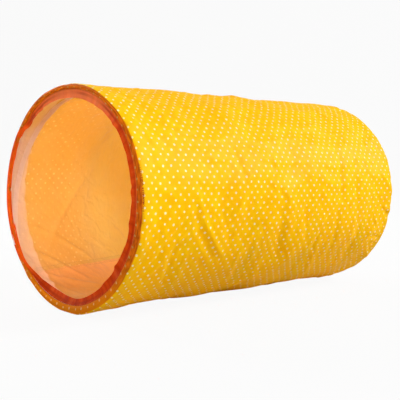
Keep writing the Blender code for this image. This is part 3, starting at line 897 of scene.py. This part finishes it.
def facing_piece(name, side, seed):
    """A gathered tape as a piece, and the line along which it is stitched."""
    draw = np.random.default_rng(seed)
    angle = facing_angle
    pleats = np.zeros(FACING_AROUND)
    for _ in range(46):
        at = draw.uniform(0, FULL_TURN)
        wide = draw.uniform(0.020, 0.060)
        off = wrapped(angle - at, FULL_TURN)
        pleats += draw.uniform(-1.0, 1.0) * np.exp(-(off / wide) ** 2)
    slow = smooth_noise(seed + 1, angle, angle * 0, 11, 1.0)
    outer, stitched, nose = hem_roll(angle, side)
    roll = (outer - stitched) / 2 + 0.0003
    strays, wobble = hem_wander(angle, angle * 0 + side * (hoop_x + 0.006))
    tilt = math.radians(38.0) * hump(angle, 275, 30)
    rolled = np.zeros(FACING_AROUND)
    if side < 0:
        off = np.degrees(wrapped(angle - TURNED_IN, FULL_TURN))
        rolled = 1.0 / (1.0 + np.exp(np.clip(np.where(off > 0, off - 44.0, -off - 46.0), -60, 60)
                                     / np.where(off > 0, 1.8, 4.0)))
    width = facing_width * (1.0 + 0.13 * slow)

    def line(along, under):
        """The tape's points at a share of its width, lifted off it by a distance."""
        out = width * along
        wave = (0.0015 * pleats + 0.0005 * slow) * along ** 1.2 + under
        wave = wave + 0.0008 * math.sin(math.pi * along)
        flat_radius = stitched + 0.0006 - out * np.cos(tilt) + wave * np.sin(tilt)
        flat_x = hoop_x + 0.0004 - out * np.sin(tilt) - wave * np.cos(tilt)
        # Where it has turned in, it lies round the hem's roll and on along the wall.
        turn = math.radians(62.0) - out / roll
        on_wall = np.maximum(-math.pi / 2 - turn, 0.0) * roll
        turn = np.maximum(turn, -math.pi / 2)
        roll_radius = stitched - 0.0003 + roll * (1 + np.sin(turn)) + 0.3 * wave
        roll_x = hoop_x + (nose + 0.0003 - under) * np.cos(turn) - on_wall
        return on_tube(side * (flat_x + (roll_x - flat_x) * rolled) + strays, angle,
                       flat_radius + (roll_radius - flat_radius) * rolled + wobble)

    rows = [line(facing_fold / facing_width, 0.0003), line(0.0, 0.0003)]
    rows += [line(along, 0.0) for along in np.linspace(0.0, 1.0, FACING_ACROSS + 1)]
    u_of = np.arange(FACING_AROUND + 1) * facing_round / FACING_AROUND
    v_of = [-facing_fold, -0.0003] + list(np.linspace(0, facing_width, FACING_ACROSS + 1))
    return new_object(name, cloth_mesh(name, np.stack(rows), u_of, v_of)), line(0.08, -0.0003)


front_facing, front_sewn = facing_piece("front_gathered_tape", -1, 51)
rear_facing, rear_sewn = facing_piece("rear_gathered_tape", 1, 61)
for piece, node, body, rim in ((front_facing, "front_facing", "root", "cover_front_rim"),
                               (rear_facing, "rear_facing", "rear_end", "cover_rear_rim")):
    piece.data.materials.append(tape_cloth)
    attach(piece, body)
    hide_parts(node)

# The stitching
# Dark orange polyester thread. It holds each tape to its hem in short even stitches, and
# where the overlocked edge has frayed, some loose ends stand out.
thread_radius = 0.00022
LOOSE_ENDS = 150
thread_yarn = grained_material("sewing_thread", srgb(150, 62, 8), srgb(226, 118, 34), (0.35, 0.65),
                               {"Roughness": 0.7, "Specular IOR Level": 0.05}, Scale=2500.0)


def threads_mesh(name, paths):
    """Round threads that taper at both ends, each along four points, in one mesh."""
    points, faces = [], []
    for path in paths:
        path = np.asarray(path)
        ahead = path[-1] - path[0]
        aside = np.cross(ahead, (0.8, 0.5, 0.33))
        aside /= np.linalg.norm(aside)
        across = np.cross(ahead / np.linalg.norm(ahead), aside)
        first = len(points)
        for spot, size in zip(path, (0.5, 1.0, 1.0, 0.5)):
            for turned in FULL_TURN * np.arange(6) / 6:
                points.append(spot + thread_radius * size * (
                    aside * math.cos(turned) + across * math.sin(turned)))
        for start in (first, first + 6, first + 12):
            faces += [(start + k, start + (k + 1) % 6, start + 6 + (k + 1) % 6, start + 6 + k)
                      for k in range(6)]
        faces += [tuple(first + 5 - k for k in range(6)), tuple(first + 18 + k for k in range(6))]
    mesh = bpy.data.meshes.new(name)
    mesh.from_pydata([tuple(p) for p in points], [], faces)
    mesh.shade_smooth()
    mesh.materials.append(thread_yarn)
    return mesh


for name, sewn, side, body in (("front_stitching", front_sewn, -1, "root"),
                               ("rear_stitching", rear_sewn, 1, "rear_end")):
    # Where the front tape has turned in, its stitches are under it.
    hidden = math.radians(58.0) if side < 0 else -1.0
    stitches = [[sewn[(first + part * 2 // 3) % FACING_AROUND] for part in range(4)]
                for first in range(0, FACING_AROUND - 1, 3)
                if abs(wrapped(facing_angle[first] - TURNED_IN, FULL_TURN)) > hidden]
    draw = np.random.default_rng(71)
    for _ in range(LOOSE_ENDS if side < 0 else 0):
        angle = math.radians(draw.normal(173.0, 6.0))
        outer = hem_roll(np.array([angle]), -1)[0][0]
        start = on_tube(-hoop_x - draw.uniform(0.0022, 0.0032), angle, outer - 0.0009)
        aside = np.array([0.0, -math.sin(angle), math.cos(angle)])
        outward = np.array([0.0, math.cos(angle), math.sin(angle)])
        reach = (draw.uniform(0.0002, 0.0014) * np.array([1.0, 0.0, 0.0])
                 + draw.uniform(-0.0008, 0.0008) * aside + draw.uniform(0.0006, 0.0012) * outward)
        stitches.append([start + reach * share for share in (0.0, 0.35, 0.7, 1.0)])
    piece = new_object(name, threads_mesh(name, stitches))
    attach(piece, body)

# The wires' fittings
# Crimped steel sleeves join the hoops' ends and moulded plastic caps cover the spring's. All
# are hidden in the cloth.
dark_plastic = grained_material("black_plastic", srgb(24, 24, 25), srgb(40, 40, 41), None,
                                {"Roughness": 0.5}, Scale=1500.0)
for end_name in ("front", "rear"):
    for fitting, finish in (("hoop", steel), ("hoop_sleeve", steel), ("spring_cap", dark_plastic)):
        mesh = frame["nodes"][end_name + "_" + fitting].data
        mesh.materials.clear()
        mesh.materials.append(finish)
